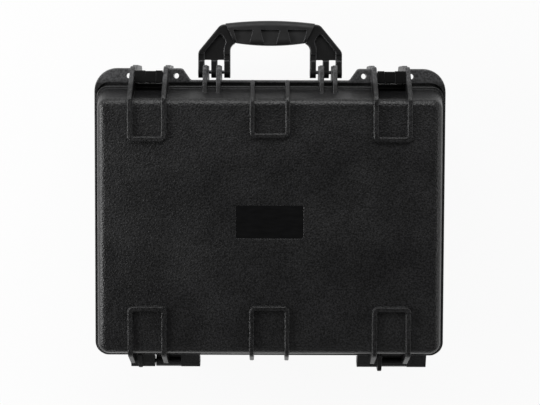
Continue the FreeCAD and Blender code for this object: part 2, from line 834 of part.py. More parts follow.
def build_handle_grip():
    low = handle_z - grip_thick / 2
    high = handle_z + grip_thick / 2
    bottom_y = handle_y + grip_bottom
    top_y = handle_y + handle_slope_height + grip_shoulder
    low_x = seam_x(bottom_y) - grip_gap
    high_x = seam_x(top_y) - grip_gap
    corner_points = [Vector(-low_x, bottom_y, low), Vector(low_x, bottom_y, low),
                     Vector(high_x, top_y, low), Vector(-high_x, top_y, low)]
    belly = Vector(0, bottom_y - grip_belly, low)
    crown = Vector(0, handle_top - grip_crown_drop, low)
    outline = Part.Wire([Part.Arc(corner_points[0], belly, corner_points[1]).toShape(),
                         Part.LineSegment(corner_points[1], corner_points[2]).toShape(),
                         Part.Arc(corner_points[2], crown, corner_points[3]).toShape(),
                         Part.LineSegment(corner_points[3], corner_points[0]).toShape()])
    grip = Part.Face(outline).extrude(Vector(0, 0, high - low))
    long_edges = [edge for edge in edges_at_z(grip, low) + edges_at_z(grip, high)
                  if edge.BoundBox.XLength > grip_bottom_width / 2]
    grip = grip.makeFillet(grip_edge_radius, long_edges)
    cuts = [grip_core(grip_gap)]
    pocket_low = bottom_y - grip_belly - overlap
    pocket_high = handle_y + handle_slope_height - grip_pocket_drop
    for step in (-1, 0, 1):
        x = step * grip_pocket_pitch
        low_half = grip_pocket_low_width / 2
        top_half = grip_pocket_top_width / 2
        corners = [(x - low_half, pocket_low, 0), (x + low_half, pocket_low, 0),
                   (x + top_half, pocket_high, grip_pocket_corner),
                   (x - top_half, pocket_high, grip_pocket_corner)]
        for start, end in ((low, low + grip_pocket_depth), (high - grip_pocket_depth, high)):
            cuts.append(prism_z(corners, start, end))
    return grip.cut(Part.makeCompound(cuts))


def handle_pin(side):
    spans = knuckle_spans()
    ends = (side * (spans[0][0] + pin_end_inset), side * (spans[-1][1] - pin_end_inset))
    return rod_x(handle_pin_radius, min(ends), max(ends), handle_y, handle_z)


# Latches

def lever_span(side):
    half = latch_bay / 2 - latch_gap
    return side * side_rib_x - half, side * side_rib_x + half


def trigger_span(side):
    middle = side * (side_rib_x - trigger_offset)
    return middle - trigger_width / 2, middle + trigger_width / 2


def build_lever(side):
    left, right = lever_span(side)
    profile = [(latch_in, latch_z, 0), (latch_in, latch_top, latch_edge_radius),
               (latch_out + latch_lip, latch_top, latch_edge_radius),
               (latch_out + latch_lip, latch_top - 2 * latch_lip, latch_edge_radius),
               (latch_out, latch_top - 4 * latch_lip, latch_edge_radius), (latch_out, latch_z, 0)]
    plate = prism_x(profile, left, right)
    boss = rod_x(latch_thick / 2, left, right, latch_y, latch_z)
    trigger_left, trigger_right = trigger_span(side)
    slot_low = trigger_z - trigger_low_drop - trigger_end_gap
    cuts = [box((trigger_left - trigger_gap, trigger_right + trigger_gap),
                (latch_in - overlap, latch_out + latch_lip + overlap), (slot_low, latch_top + overlap)),
            rod_x(trigger_pin_radius + pin_clearance, left, right, latch_y, trigger_z),
            rod_x(latch_pin_radius + pin_clearance, left, right, latch_y, latch_z)]
    for index in range(latch_grooves):
        groove_z = trigger_z - latch_groove_pitch * index
        cuts.append(box((left, right), (latch_out - latch_groove_depth, latch_out + overlap),
                        (groove_z - latch_groove_width, groove_z)))
    return fuse_all([plate, boss]).cut(Part.makeCompound(cuts))


def spring_span(side):
    """The spring sits in a pocket in the trigger's outer side face."""
    trigger_left, trigger_right = trigger_span(side)
    length = spring_turns * spring_pitch + spring_wire + 2 * spring_room
    if side > 0:
        return trigger_right - length, trigger_right
    return trigger_left, trigger_left + length


def build_trigger(side):
    left, right = trigger_span(side)
    low = trigger_z - trigger_low_drop
    high = latch_top - trigger_gap
    inner = latch_in + trigger_set_back
    outer = latch_out - trigger_set_back
    relieved = inner + trigger_relief
    profile = [(relieved, low, latch_edge_radius), (relieved, parting, 0), (inner, parting + trigger_relief, 0),
               (inner, high, latch_edge_radius), (outer + latch_lip, high, latch_edge_radius),
               (outer, high - 4 * latch_lip, latch_edge_radius), (outer, low, latch_edge_radius)]
    room_left, room_right = spring_span(side)
    room_radius = spring_radius + spring_wire / 2 + spring_room
    cuts = [rod_x(trigger_pin_radius + pin_clearance, left, right, latch_y, trigger_z),
            rod_x(room_radius, room_left, room_right, latch_y, trigger_z)]
    return prism_x(profile, left, right).cut(Part.makeCompound(cuts))


def arc_between(start, corner, end):
    """Arc that touches the lines from start to corner and from corner to end, which are equally long."""
    half_angle = (start - corner).getAngle(end - corner) / 2
    reach = (start - corner).Length
    rise = reach * (1 - math.sin(half_angle)) / math.cos(half_angle)
    inwards = ((start + end) / 2 - corner).normalize()
    return Part.Arc(start, corner + inwards * rise, end).toShape()


def biarc(start, start_tangent, end, end_tangent):
    """Two arcs from start to end that meet smoothly and follow both tangents."""
    chord = end - start
    along = chord.dot(start_tangent + end_tangent)
    turn = 2 * (1 - start_tangent.dot(end_tangent))
    reach = (math.sqrt(along * along + turn * chord.dot(chord)) - along) / turn
    first_corner = start + start_tangent * reach
    second_corner = end - end_tangent * reach
    joint = (first_corner + second_corner) / 2
    return [arc_between(start, first_corner, joint), arc_between(joint, second_corner, end)]


def build_spring(side):
    """Torsion spring: one tube along quarter-turn biarcs of a helix round the trigger's pin."""
    points = []
    tangents = []
    for step in range(4 * spring_turns + 1):
        angle = step * math.pi / 2
        radial = Vector(0, math.cos(angle), math.sin(angle))
        around = Vector(0, -math.sin(angle), math.cos(angle))
        points.append(radial * spring_radius + Vector(spring_pitch * step / 4, 0, 0))
        tangents.append((around * (2 * math.pi * spring_radius) + Vector(spring_pitch, 0, 0)).normalize())
    edges = []
    for index in range(4 * spring_turns):
        edges += biarc(points[index], tangents[index], points[index + 1], tangents[index + 1])
    gaps = [here.distanceToPoint(next_turn) - spring_wire for here, next_turn in zip(points, points[4:])]
    print("least gap between spring turns", round(min(gaps), 3))
    section = Part.Wire(Part.makeCircle(spring_wire / 2, points[0], tangents[0]))
    coil = Part.Wire(edges).makePipeShell([section], True, False)
    room_left, room_right = spring_span(side)
    middle = (room_left + room_right - spring_turns * spring_pitch) / 2
    coil.translate(Vector(middle, latch_y, trigger_z))
    return coil


def trigger_pin(side):
    left, right = lever_span(side)
    return rod_x(trigger_pin_radius, left + trigger_pin_inset, right - trigger_pin_inset, latch_y, trigger_z)


def latch_pin(side):
    left, right = guard_span(side)
    return rod_x(latch_pin_radius, left + pin_end_inset, right - pin_end_inset, latch_y, latch_z)


# Pressure valve

valve_face = front_y + valve_boss_out
valve_top = valve_face + valve_flange_thick
wall_lean_at_nut = base_draft * (valve_drop + valve_nut_across / 2) / base_depth
nut_face = front_y - wall_lean_at_nut - wall - foam_gap
valve_end = nut_face - valve_nut_thick - valve_shaft_end


def build_valve_body():
    shaft = rod_y(valve_shaft_radius, valve_end, valve_face, 0, valve_z)
    flange = rod_y(valve_flange_radius, valve_face, valve_top, 0, valve_z)
    stem = rod_y(valve_stem_radius, valve_top, valve_top + valve_stem_length, 0, valve_z)
    groove_depth = 2 * valve_seal_wire + 2 * pin_clearance
    reach = valve_seal_wire + pin_clearance
    groove = rod_y(valve_seal_radius + reach, valve_face, valve_face + groove_depth, 0, valve_z)
    groove = groove.cut(rod_y(valve_seal_radius - reach, valve_face, valve_face + groove_depth, 0, valve_z))
    return fuse_all([shaft, flange, stem]).cut(groove)


def build_valve_seal():
    centre = Vector(0, valve_face + valve_seal_wire + pin_clearance, valve_z)
    return Part.makeTorus(valve_seal_radius, valve_seal_wire, centre, Vector(0, 1, 0))


def build_valve_nut():
    corner = valve_nut_across / math.sqrt(3)
    points = [Vector(corner * math.cos(math.pi * step / 3), nut_face - valve_nut_thick,
                     valve_z + corner * math.sin(math.pi * step / 3)) for step in range(7)]
    nut = Part.Face(Part.makePolygon(points)).extrude(Vector(0, valve_nut_thick, 0))
    bore = rod_y(valve_shaft_radius + pin_clearance, nut_face - valve_nut_thick, nut_face, 0, valve_z)
    return nut.cut(bore)


def build_valve_knob():
    low = valve_top + valve_knob_gap
    high = low + valve_knob_thick
    knob = rod_y(valve_knob_radius, low, high, 0, valve_z)
    rim_edges = [edge for edge in knob.Edges if edge.BoundBox.YMin > high - 1e-4]
    knob = knob.makeFillet(valve_knob_round, rim_edges)
    bore_end = valve_top + valve_stem_length + valve_knob_gap
    cuts = [rod_y(valve_stem_radius + pin_clearance, low, bore_end, 0, valve_z)]
    for step in range(valve_flutes):
        angle = 2 * math.pi * step / valve_flutes
        cuts.append(rod_y(valve_flute_radius, low, high, valve_knob_radius * math.cos(angle),
                          valve_z + valve_knob_radius * math.sin(angle)))
    half = valve_slot_width / 2
    reach = valve_slot_length / 2
    cuts.append(box((-reach, reach), (high - valve_slot_depth, high), (valve_z - half, valve_z + half)))
    return knob.cut(Part.makeCompound(cuts))


# Foam lining

pad_low = wall + foam_gap
floor_low = pad_low + pad_thick + foam_gap
floor_high = floor_low + floor_thick
block_low = floor_high + foam_gap
block_high = parting - block_top_drop
lean_at_floor = base_draft * (base_depth - floor_low) / base_depth
foam_x = half_x - max(mouth_side, lean_at_floor + wall) - foam_side_gap
foam_front = min(front_y - max(mouth_front, lean_at_floor + wall), valve_end) - foam_side_gap
foam_back = back_y + max(mouth_back, lean_at_floor + wall) + foam_side_gap
pocket_x = foam_x - pocket_side_border
pocket_front = foam_front - pocket_front_border
pocket_back = foam_back + pocket_back_border


def build_foam_pad():
    x = half_x - base_draft - base_edge_radius
    y = front_y - base_draft - base_edge_radius
    return prism_z(rectangle(-x, x, -y, y, foam_corner), pad_low, pad_low + pad_thick)


def build_foam_floor():
    return prism_z(rectangle(-foam_x, foam_x, foam_back, foam_front, foam_corner), floor_low, floor_high)


def build_foam_end(side):
    """Block along one end of the pocket, with its outer corners rounded."""
    corners = [(side * pocket_x, foam_back, 0), (side * foam_x, foam_back, foam_corner),
               (side * foam_x, foam_front, foam_corner), (side * pocket_x, foam_front, 0)]
    return prism_z(corners, block_low, block_high)


def build_foam_bar(low_y, high_y):
    """Block along one long side of the pocket, between the two ends."""
    reach = pocket_x - foam_gap
    return box((-reach, reach), (low_y, high_y), (block_low, block_high))


def build_lid_foam():
    high = lid_face - wall - foam_gap
    x = half_x - lid_draft - shoulder_radius
    low_y = back_y + lid_back_slope + shoulder_radius
    high_y = front_y - lid_slope - shoulder_radius
    return prism_z(rectangle(-x, x, low_y, high_y, foam_corner), high - lid_foam_thick, high)


os.makedirs("parts", exist_ok=True)
save("base_shell", build_base())
save("lid_shell", build_lid())
save("lid_gasket", build_gasket())
save("lid_label_plate", build_label())
save("handle_frame", build_handle_frame())
save("handle_grip", build_handle_grip())
save("valve_body", build_valve_body())
save("valve_seal", build_valve_seal())
save("valve_nut", build_valve_nut())
save("valve_knob", build_valve_knob())
save("base_foam_pad", build_foam_pad())
save("base_foam_floor", build_foam_floor())
save("base_foam_left", build_foam_end(-1))
save("base_foam_right", build_foam_end(1))
save("base_foam_front", build_foam_bar(pocket_front, foam_front))
save("base_foam_back", build_foam_bar(foam_back, pocket_back))
save("lid_foam", build_lid_foam())
for name, side, span in zip(("left", "right"), (-1, 1), hinge_spans()):
    save("hinge_pin_" + name, hinge_pin(span))
    save("handle_pin_" + name, handle_pin(side))
    save("latch_lever_" + name, build_lever(side))
    save("latch_pivot_pin_" + name, latch_pin(side))
    save("latch_trigger_" + name, build_trigger(side))
    save("latch_trigger_pin_" + name, trigger_pin(side))
    save("latch_trigger_spring_" + name, build_spring(side))
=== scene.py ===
# %% [markdown]
# # A moulded hard case, seen from above its lid
# The case is a black protective box: two ribbed plastic shells on hinge pins, a seal between them, two
# latches, a folding handle with a soft grip, a pressure valve and a foam lining.
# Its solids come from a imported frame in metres, so this lesson never moves or resizes them. It gives each
# solid its finish, grows the foam that the plain blocks only stand for, and sets the light and the camera.

# %% Load the frame
import json
import math

import bmesh
import bpy
from mathutils import Matrix, Vector


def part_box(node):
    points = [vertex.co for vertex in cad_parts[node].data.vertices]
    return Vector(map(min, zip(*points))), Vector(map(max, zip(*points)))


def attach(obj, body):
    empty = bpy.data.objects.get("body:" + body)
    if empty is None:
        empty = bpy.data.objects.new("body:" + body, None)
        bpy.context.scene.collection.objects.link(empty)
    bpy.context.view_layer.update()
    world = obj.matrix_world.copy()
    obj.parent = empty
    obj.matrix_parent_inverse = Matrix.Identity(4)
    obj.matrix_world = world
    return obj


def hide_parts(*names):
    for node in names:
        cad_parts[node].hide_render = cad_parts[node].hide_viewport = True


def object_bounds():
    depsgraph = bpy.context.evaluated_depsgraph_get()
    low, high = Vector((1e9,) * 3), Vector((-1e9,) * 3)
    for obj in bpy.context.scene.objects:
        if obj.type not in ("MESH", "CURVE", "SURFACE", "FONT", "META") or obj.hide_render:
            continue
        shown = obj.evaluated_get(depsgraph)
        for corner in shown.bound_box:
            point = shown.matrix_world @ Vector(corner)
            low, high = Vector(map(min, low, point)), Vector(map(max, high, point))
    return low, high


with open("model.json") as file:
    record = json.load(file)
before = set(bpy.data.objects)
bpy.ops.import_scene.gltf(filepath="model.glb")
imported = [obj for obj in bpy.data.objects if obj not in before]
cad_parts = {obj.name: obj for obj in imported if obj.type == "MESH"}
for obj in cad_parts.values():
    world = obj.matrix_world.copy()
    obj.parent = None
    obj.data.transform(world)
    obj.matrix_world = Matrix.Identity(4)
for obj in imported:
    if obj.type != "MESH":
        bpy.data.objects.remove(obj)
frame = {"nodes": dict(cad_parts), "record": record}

cad_low, cad_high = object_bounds()
scene = bpy.context.scene
nodes = frame["nodes"]
mm = 0.001
print("nodes", len(nodes), "box in mm", [round((high - low) / mm) for low, high in zip(cad_low, cad_high)])

# %% [markdown]
# ## Camera
# The photograph looks straight at the lid with the handle at the top, so the camera hangs over the case.
# The lid's handle-side wall shows and its hinge-side wall doesn't, which puts the lens above that edge.
# A camera could be aimed at the middle of the lid instead, but then the upright lines would converge.
# Here it tilts a little and the rest of the framing is lens shift, as on a view camera.

# %% Place the camera
photo_width = 540
focal_px = 1050.0
sensor_mm = 36.0
camera_y = 175 * mm
camera_above_lid = 1421 * mm
camera_tilt = math.radians(2.7)
camera_roll = math.radians(0.19)
camera_shift = -0.1058
lid_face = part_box("lid_label_plate")[1].z

lens = bpy.data.cameras.new("photo_lens")
lens.sensor_width = sensor_mm
lens.lens = focal_px / photo_width * sensor_mm
lens.shift_y = camera_shift
camera = bpy.data.objects.new("photo_camera", lens)
camera.location = (0, camera_y, lid_face + camera_above_lid)
camera.rotation_euler = (-camera_tilt, 0, camera_roll)
scene.collection.objects.link(camera)
scene.camera = camera
print("lens", round(lens.lens, 1), "mm, camera", [round(value, 3) for value in camera.location])

# %% [markdown]
# ## Light and floor
# Black plastic shows mostly what it reflects. One soft panel beyond the handle models the far shoulder,
# and two side panels low down draw the bright lines along the lid's left and right shoulders.
# Nothing hangs near the lens, because the flat lid would mirror it and turn grey, and little light comes
# from the hinge side, so the hinges stay in the lid's shade.
# The floor is pale and keeps the shadow, and it shows as white to the camera and in reflections.

# %% Set the lights
def soft_panel(name, place, size, watts):
    """Rectangular area light aimed at the middle of the case."""
    light = bpy.data.lights.new(name, "AREA")
    light.shape = "RECTANGLE"
    light.size, light.size_y = size
    light.energy = watts
    panel = bpy.data.objects.new(name, light)
    panel.location = place
    aim = (cad_low + cad_high) / 2 - panel.location
    panel.rotation_euler = aim.to_track_quat("-Z", "Y").to_euler()
    scene.collection.objects.link(panel)


soft_panel("far_panel", (0.0, 1.6, 1.3), (2.0, 0.8), 24)
soft_panel("left_panel", (-1.5, 0.1, 0.75), (1.4, 0.6), 22)
soft_panel("right_panel", (1.5, 0.1, 0.75), (1.4, 0.6), 5)
soft_panel("near_panel", (0.0, -1.6, 1.6), (1.8, 0.5), 2)

room_light = 0.07
world = bpy.data.worlds.new("studio")
world.use_nodes = True
background = world.node_tree.nodes["Background"]
background.inputs["Color"].default_value = (1, 1, 1, 1)
background.inputs["Strength"].default_value = room_light
scene.world = world
scene.view_settings.view_transform = "Standard"

# %% Lay the floor
floor_half = 6.0
white_share = 0.93
floor_mesh = bpy.data.meshes.new("floor")
corners = [(-floor_half, -floor_half, 0), (floor_half, -floor_half, 0),
           (floor_half, floor_half, 0), (-floor_half, floor_half, 0)]
floor_mesh.from_pydata(corners, [], [(0, 1, 2, 3)])
floor = bpy.data.objects.new("floor", floor_mesh)
scene.collection.objects.link(floor)

paper = bpy.data.materials.new("pale_floor")
paper.use_nodes = True
tree = paper.node_tree
shader = tree.nodes["Principled BSDF"]
shader.inputs["Base Color"].default_value = (0.8, 0.8, 0.8, 1)
shader.inputs["Roughness"].default_value = 0.8
glow = tree.nodes.new("ShaderNodeEmission")
glow.inputs["Color"].default_value = (1, 1, 1, 1)
rays = tree.nodes.new("ShaderNodeLightPath")
seen = rays.outputs["Is Camera Ray"]
for ray in ("Is Glossy Ray", "Is Transmission Ray"):
    either = tree.nodes.new("ShaderNodeMath")
    either.operation = "MAXIMUM"
    tree.links.new(seen, either.inputs[0])
    tree.links.new(rays.outputs[ray], either.inputs[1])
    seen = either.outputs[0]
share = tree.nodes.new("ShaderNodeMath")
share.operation = "MULTIPLY"
share.inputs[1].default_value = white_share
tree.links.new(seen, share.inputs[0])
blend = tree.nodes.new("ShaderNodeMixShader")
tree.links.new(share.outputs[0], blend.inputs["Fac"])
tree.links.new(shader.outputs["BSDF"], blend.inputs[1])
tree.links.new(glow.outputs["Emission"], blend.inputs[2])
tree.links.new(blend.outputs["Shader"], tree.nodes["Material Output"].inputs["Surface"])
floor_mesh.materials.append(paper)
print("floor", 2 * floor_half, "m square")

# %% [markdown]
# ## Finishes
# Every finish is built from the same few nodes: a grain that lifts the surface, a speckle of dust, a slow
# mottling that changes the shine, and a soft pale band along the edges that is part wear and part painted
# highlight. An image texture could hold them, but a procedural grain stays sharp in close-ups and needs no
# file. All patterns read Object coordinates.

# %% Helpers for finishes
def add_node(tree, kind, **inputs):
    """New node with its named inputs set."""
    node = tree.nodes.new(kind)
    for name, value in inputs.items():
        node.inputs[name.replace("_", " ")].default_value = value
    return node


def new_finish(name):
    """Empty material with one Principled shader, and the place that its patterns read."""
    material = bpy.data.materials.new(name)
    material.use_nodes = True
    tree = material.node_tree
    place = tree.nodes.new("ShaderNodeTexCoord").outputs["Object"]
    return material, tree, tree.nodes["Principled BSDF"], place


def noise(tree, place, size, detail=3.0, stretch=None):
    """Noise whose blotches are about size metres across."""
    texture = add_node(tree, "ShaderNodeTexNoise", Scale=1 / size, Detail=detail)
    if stretch:
        mapping = add_node(tree, "ShaderNodeMapping", Scale=stretch)
        tree.links.new(place, mapping.inputs["Vector"])
        place = mapping.outputs["Vector"]
    tree.links.new(place, texture.inputs["Vector"])
    return texture.outputs["Fac"]


def pebbles(tree, place, size):
    """Rounded cells about size metres across, as a moulded pebble grain has."""
    texture = add_node(tree, "ShaderNodeTexVoronoi", Scale=1 / size)
    texture.feature = "SMOOTH_F1"
    texture.inputs["Smoothness"].default_value = 0.6
    tree.links.new(place, texture.inputs["Vector"])
    return texture.outputs["Distance"]


def ranged(tree, value, low, high, start=0.3, end=0.7):
    """Value from start to end, mapped to low to high."""
    node = add_node(tree, "ShaderNodeMapRange", From_Min=start, From_Max=end, To_Min=low, To_Max=high)
    tree.links.new(value, node.inputs["Value"])
    return node.outputs["Result"]


def product(tree, first, second):
    """Product of two values; the second may be a plain number."""
    node = tree.nodes.new("ShaderNodeMath")
    node.operation = "MULTIPLY"
    tree.links.new(first, node.inputs[0])
    if hasattr(second, "links"):
        tree.links.new(second, node.inputs[1])
    else:
        node.inputs[1].default_value = second
    return node.outputs["Value"]


def lift(tree, shader, height, distance, strength=1.0, share=None):
    """Adds a height to the shader's normal, on top of what is there; share fades it by place."""
    bump = add_node(tree, "ShaderNodeBump", Distance=distance, Strength=strength)
    if share is not None:
        tree.links.new(product(tree, share, strength), bump.inputs["Strength"])
    tree.links.new(height, bump.inputs["Height"])
    for link in shader.inputs["Normal"].links:
        tree.links.new(link.from_socket, bump.inputs["Normal"])
    tree.links.new(bump.outputs["Normal"], shader.inputs["Normal"])


def blend_colours(tree, share, first, second):
    """Mix of two colours; each is three numbers or another mix's result."""
    mix = tree.nodes.new("ShaderNodeMix")
    mix.data_type = "RGBA"
    for name, colour in (("A", first), ("B", second)):
        if hasattr(colour, "links"):
            tree.links.new(colour, mix.inputs[name])
        else:
            mix.inputs[name].default_value = (*colour, 1)
    tree.links.new(share, mix.inputs["Factor"])
    return mix.outputs["Result"]


def edge_band(tree, width):
    """Value that rises along sharp edges, from how far a rounded normal turns from the true one."""
    rounded = add_node(tree, "ShaderNodeBevel", Radius=width)
    rounded.samples = 4
    geometry = tree.nodes.new("ShaderNodeNewGeometry")
    dot = tree.nodes.new("ShaderNodeVectorMath")
    dot.operation = "DOT_PRODUCT"
    tree.links.new(rounded.outputs["Normal"], dot.inputs[0])
    tree.links.new(geometry.outputs["Normal"], dot.inputs[1])
    return ranged(tree, dot.outputs["Value"], 1.0, 0.0, 0.75, 0.99), rounded.outputs["Normal"]


def along(tree, place, axis, start, end):
    """0 before start and 1 after end, in metres along an axis."""
    parts = tree.nodes.new("ShaderNodeSeparateXYZ")
    tree.links.new(place, parts.inputs["Vector"])
    return ranged(tree, parts.outputs[axis], 0.0, 1.0, start, end)


def moulded_plastic(name, colours, shine, grain, grain_height, edge=1.0 * mm, gloss=0.5, zones=None):
    """Black plastic with pebble grain, dust, and paler edges that are part wear and part painted highlight.

    zones gives the heights between which the grain comes in, the distances between which a painted
    highlight comes in, and the grey of that painted highlight.
    """
    material, tree, shader, place = new_finish(name)
    clean, dusty, wear_and_highlight = colours
    mottling = noise(tree, place, 60 * mm, 4)
    speckle = ranged(tree, noise(tree, place, grain, 3), 0.0, 1.0, 0.38, 0.62)
    dust = product(tree, speckle, ranged(tree, mottling, 0.6, 1.0))
    body = blend_colours(tree, dust, clean, dusty)
    grained = None
    if zones:
        grained_from, tab_highlight_from, tab_highlight_grey = zones
        # painted highlight: past the given distance the tabs and guards turn paler, for the far light they
        # reflect
        tab_highlight = product(tree, along(tree, place, "Y", *tab_highlight_from), ranged(tree, speckle, 0.3, 1, 0, 1))
        body = blend_colours(tree, tab_highlight, body, tab_highlight_grey)
        grained = along(tree, place, "Z", *grained_from)
    band, soft_normal = edge_band(tree, edge)
    # the pale edge band is part wear and part painted highlight along edges that catch the light
    scuffs_and_highlight = product(tree, band, ranged(tree, speckle, 0.4, 1.0, 0.0, 1.0))
    whole = blend_colours(tree, scuffs_and_highlight, body, wear_and_highlight)
    tree.links.new(whole, shader.inputs["Base Color"])
    tree.links.new(ranged(tree, mottling, shine - 0.06, shine + 0.06), shader.inputs["Roughness"])
    shader.inputs["Specular IOR Level"].default_value = gloss
    tree.links.new(soft_normal, shader.inputs["Normal"])
    lift(tree, shader, pebbles(tree, place, grain), grain_height, 0.8, grained)
    lift(tree, shader, noise(tree, place, grain / 4, 2), grain_height / 4, 0.6)
    return material


print("finish helpers ready")

# %% [markdown]
# ## Shell, handle and latch plastic
# The shells are polypropylene moulded in a grained tool: the faces are matte with a coarse pebble grain,
# and the walls and the rim are smoother. Their tabs and guards on the handle side get a painted highlight,
# a paler grey that stands in for the far light they reflect. Painted masks could tell these zones apart, but
# the place on the case already does, so the grain fades by height and the painted highlight comes in by
# distance from the hinges.
# The handle and latches come from smoother tools and shine a little more. The valve is smoother still.

# %% Make the plastics
def greys(clean, dusty, wear_and_highlight):
    """Three near-black greys, a little blue."""
    return [(level, level, level * 1.04) for level in (clean, dusty, wear_and_highlight)]


grained_heights = (140 * mm, 148 * mm)
# painted highlight on the handle-side tabs and guards, a paler grey that comes in past these distances
tab_highlight_distances = (189 * mm, 197 * mm)
tab_highlight_grey = (0.085, 0.085, 0.088)
shell_zones = (grained_heights, tab_highlight_distances, tab_highlight_grey)
# the third grey of each finish colours its edge band, part wear and part painted highlight
finishes = {
    "shell_plastic": moulded_plastic("shell_plastic", greys(0.0015, 0.022, 0.12), 0.40, 2.3 * mm, 0.65 * mm,
                                     zones=shell_zones),
    "handle_plastic": moulded_plastic("handle_plastic", greys(0.002, 0.007, 0.12), 0.40, 1.6 * mm, 0.1 * mm,
                                      edge=2.0 * mm),
    "latch_plastic": moulded_plastic("latch_plastic", greys(0.002, 0.004, 0.05), 0.42, 1.6 * mm, 0.1 * mm,
                                     gloss=0.25),
    "valve_plastic": moulded_plastic("valve_plastic", greys(0.011, 0.015, 0.024), 0.36, 0.6 * mm, 0.04 * mm),
}
print("plastics", list(finishes))

# %% [markdown]
# ## Rubber, label, steel and foam
# The grip and the seal are soft rubber: a fine stipple, no shine, and a little sheen from dust.
# The label plate is smooth gloss plastic that only shows faint wiping marks.
# The pins are wire, blackened so that they hide in the knuckles, with drawing lines along their length.
# The foam is open-celled: tiny pits all over, matte, and greyer where dust sits.

# %% Make the rubbers, the label, the steel and the foam
def soft_rubber(name, colour, dusty, wear_and_highlight, stipple):
    """Matte rubber with a fine stipple and paler edges that are part wear and part painted highlight."""
    material, tree, shader, place = new_finish(name)
    mottling = noise(tree, place, 14 * mm, 4)
    body = blend_colours(tree, ranged(tree, mottling, 0, 1), colour, dusty)
    band, soft_normal = edge_band(tree, 0.8 * mm)
    # the pale edge band is part wear and part painted highlight along edges that catch the light
    whole = blend_colours(tree, band, body, wear_and_highlight)
    tree.links.new(whole, shader.inputs["Base Color"])
    tree.links.new(soft_normal, shader.inputs["Normal"])
    tree.links.new(ranged(tree, mottling, 0.5, 0.62), shader.inputs["Roughness"])
    shader.inputs["Sheen Weight"].default_value = 0.06
    shader.inputs["Sheen Roughness"].default_value = 0.5
    lift(tree, shader, noise(tree, place, stipple, 2), 0.06 * mm, 0.8)
    return material


def gloss_label(name):
    """Smooth plate with faint wiping marks."""
    material, tree, shader, place = new_finish(name)
    wiping = noise(tree, place, 5 * mm, 3, (0.25, 1.0, 1.0))
    body = blend_colours(tree, ranged(tree, wiping, 0, 1), (0.004, 0.004, 0.0042), (0.006, 0.006, 0.0063))
    tree.links.new(body, shader.inputs["Base Color"])
    tree.links.new(ranged(tree, wiping, 0.16, 0.24), shader.inputs["Roughness"])
    shader.inputs["Specular IOR Level"].default_value = 0.3
    lift(tree, shader, noise(tree, place, 0.5 * mm, 2), 0.01 * mm, 0.5)
    return material


def blackened_steel(name):
    """Dark wire with drawing lines along X."""
    material, tree, shader, place = new_finish(name)
    drawing = noise(tree, place, 0.4 * mm, 2, (0.02, 1.0, 1.0))
    body = blend_colours(tree, ranged(tree, drawing, 0, 1), (0.06, 0.06, 0.063), (0.11, 0.11, 0.115))
    tree.links.new(body, shader.inputs["Base Color"])
    tree.links.new(ranged(tree, drawing, 0.32, 0.45), shader.inputs["Roughness"])
    shader.inputs["Metallic"].default_value = 1.0
    lift(tree, shader, drawing, 0.01 * mm, 0.6)
    return material


def open_cell_foam(name):
    """Matte foam full of pits."""
    material, tree, shader, place = new_finish(name)
    pits = pebbles(tree, place, 1.1 * mm)
    dust = noise(tree, place, 40 * mm, 4)
    depth = ranged(tree, pits, 0, 1, 0.1, 0.6)
    body = blend_colours(tree, depth, (0.034, 0.034, 0.036), (0.018, 0.018, 0.019))
    dusty = blend_colours(tree, ranged(tree, dust, 0, 0.5), body, (0.05, 0.05, 0.052))
    tree.links.new(dusty, shader.inputs["Base Color"])
    shader.inputs["Roughness"].default_value = 0.95
    shader.inputs["Specular IOR Level"].default_value = 0.2
    shader.inputs["Sheen Weight"].default_value = 0.1
    lift(tree, shader, pits, 0.5 * mm, 0.9)
    lift(tree, shader, noise(tree, place, 0.5 * mm, 2), 0.15 * mm, 0.6)
    return material


# the third grey of each rubber colours its edge band, part wear and part painted highlight
finishes["grip_rubber"] = soft_rubber("grip_rubber", *greys(0.003, 0.006, 0.14), 0.5 * mm)
finishes["seal_rubber"] = soft_rubber("seal_rubber", *greys(0.03, 0.036, 0.05), 0.4 * mm)
finishes["label_plastic"] = gloss_label("label_plastic")
finishes["steel"] = blackened_steel("steel")
finishes["foam"] = open_cell_foam("foam")
print("finishes", list(finishes))

# %% Dress the solids
slot_of = {row["node"]: row["material_slot"] for row in frame["record"]["subparts"]}
for name, solid in nodes.items():
    solid.data.materials.clear()
    solid.data.materials.append(finishes[slot_of[name]])
print("dressed", len(nodes), "solids")

# %% [markdown]
# ## Foam cells to pluck
# The upper foam is cut from above into small square cells that are torn out to fit the equipment, here
# with a pocket already open. Each cell is the same, so Geometry Nodes place one cell on a grid of points,
# drop the points inside the pocket, and squeeze each copy a little by a seeded random share.
# Copies could be made by a loop over objects, but one tree with named sizes is easier to change.

# %% Build the node tree of the cells
def joined(tree, kind, settings=None, **inputs):
    """New node; inputs are numbers or other nodes' outputs, named with underscores for spaces."""
    node = tree.nodes.new(kind)
    for name, value in (settings or {}).items():
        setattr(node, name, value)
    for name, value in inputs.items():
        socket = node.inputs[int(name[1:]) if name[1:].isdigit() else name.replace("_", " ")]
        if hasattr(value, "links"):
            tree.links.new(value, socket)
        else:
            socket.default_value = value
    return node


def maths(tree, operation, first, second):
    """Result of a Math node on two numbers or outputs."""
    return joined(tree, "ShaderNodeMath", {"operation": operation}, i0=first, i1=second).outputs["Value"]


